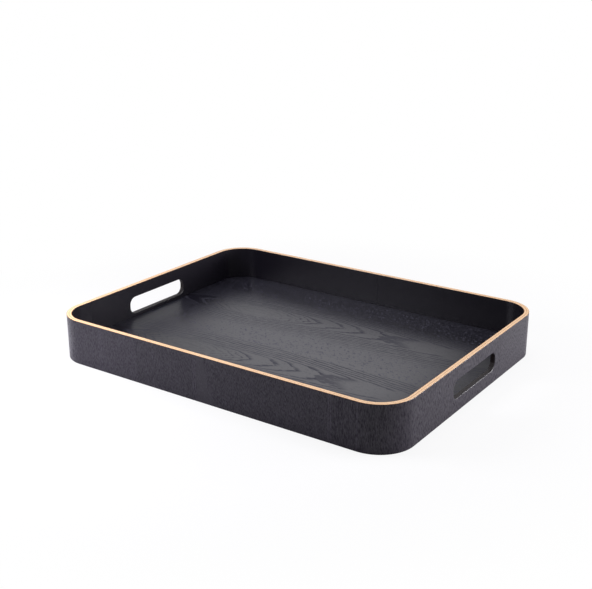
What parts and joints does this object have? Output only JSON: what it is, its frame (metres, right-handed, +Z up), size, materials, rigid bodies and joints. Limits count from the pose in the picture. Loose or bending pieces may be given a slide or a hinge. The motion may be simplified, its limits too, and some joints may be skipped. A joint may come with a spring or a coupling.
{
  "type": "butlers tray",
  "caption": "Low rectangular serving tray with rounded corners, a bent plywood wall with a handle slot through each short end, and a flat veneered plywood base.",
  "frame": {"origin": "on the table under the centre of the tray", "axes": "+X along the tray's length, from the left slot to the right slot; +Y from the front long side to the back one; +Z up"},
  "size_m": [0.43, 0.33, 0.05],
  "materials": {
    "stained_outer_veneer": "black-stained open-pore veneer with its grain upright, satin lacquer",
    "stained_inner_veneer": "black-stained veneer with its grain upright, satin lacquer",
    "stained_floor_veneer": "black-stained open-pore crown-cut veneer with its grain along the tray, semi-gloss lacquer",
    "stained_under_veneer": "black-stained veneer with its grain along the tray, matt lacquer",
    "long_grain_ply": "pale birch ply, clear lacquer on the cut edge",
    "cross_grain_ply": "birch ply seen on its end grain, clear lacquer on the cut edge"
  },
  "bodies": {
    "root": {"outer_core_right": "long_grain_ply", "outer_core_left": "long_grain_ply", "cross_core_right": "cross_grain_ply", "cross_core_left": "cross_grain_ply", "inner_core_right": "long_grain_ply", "inner_core_left": "long_grain_ply", "outer_veneer_front": "stained_outer_veneer", "outer_veneer_back": "stained_outer_veneer", "outer_veneer_right_end": "stained_outer_veneer", "outer_veneer_left_end": "stained_outer_veneer", "outer_veneer_back_right": "stained_outer_veneer", "outer_veneer_front_left": "stained_outer_veneer", "inner_veneer_front_right": "stained_inner_veneer", "inner_veneer_back_left": "stained_inner_veneer", "inner_veneer_right_end": "stained_inner_veneer", "inner_veneer_left_end": "stained_inner_veneer", "inner_veneer_back_right": "stained_inner_veneer", "inner_veneer_front_left": "stained_inner_veneer", "foot_veneer_front_right": "stained_inner_veneer", "foot_veneer_back_left": "stained_inner_veneer", "foot_veneer_right_end": "stained_inner_veneer", "foot_veneer_left_end": "stained_inner_veneer", "foot_veneer_back_right": "stained_inner_veneer", "foot_veneer_front_left": "stained_inner_veneer", "floor_veneer_front": "stained_floor_veneer", "floor_veneer_middle": "stained_floor_veneer", "floor_veneer_back": "stained_floor_veneer", "base_ply_1": "long_grain_ply", "base_ply_2": "cross_grain_ply", "base_ply_3": "long_grain_ply", "under_veneer_front": "stained_under_veneer", "under_veneer_middle": "stained_under_veneer", "under_veneer_back": "stained_under_veneer"}
  },
  "joints": []
}
